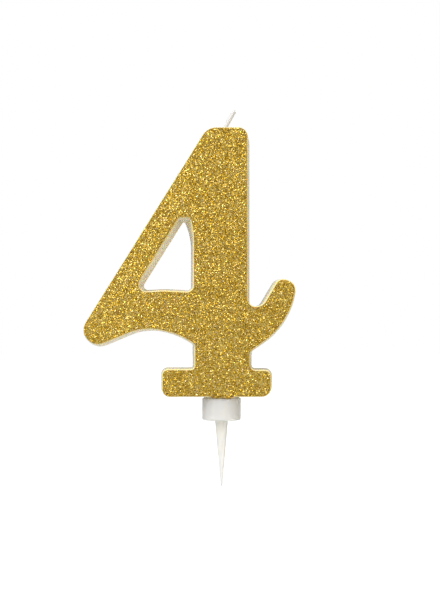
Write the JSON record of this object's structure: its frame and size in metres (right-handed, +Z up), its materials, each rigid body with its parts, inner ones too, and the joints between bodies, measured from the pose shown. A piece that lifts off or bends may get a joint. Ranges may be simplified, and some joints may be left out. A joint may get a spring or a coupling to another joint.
{
  "type": "number candle",
  "caption": "Wax numeral 4 birthday candle with a gold glitter face, a wick, and a pull-off plastic cup and spike that goes into a cake.",
  "frame": {"origin": "centre of the underside of the holder's cup, where it rests on the cake, round the spike", "axes": "+Z up along the holder's spike and cup, towards the wick; -Y is the glitter face, the front; +X is to the right seen from the front"},
  "size_m": [0.0655, 0.0125, 0.1148],
  "materials": {
    "wax": "satin cream candle wax",
    "wick": "waxed braided cotton",
    "adhesive": "clear adhesive, tinted by the glitter",
    "gold_glitter": "metallic gold glitter flakes",
    "clear_plastic": "translucent moulded plastic"
  },
  "bodies": {
    "holder": {"holder": "clear_plastic"},
    "candle": {"wax_body": "wax", "wick": "wick", "adhesive_coat": "adhesive", "glitter_coat": "gold_glitter"}
  },
  "joints": [
    {"name": "candle_pull", "type": "slide", "parent": "holder", "child": "candle", "axis": [0, 0, 1], "range_m": [0, 0.005]}
  ]
}
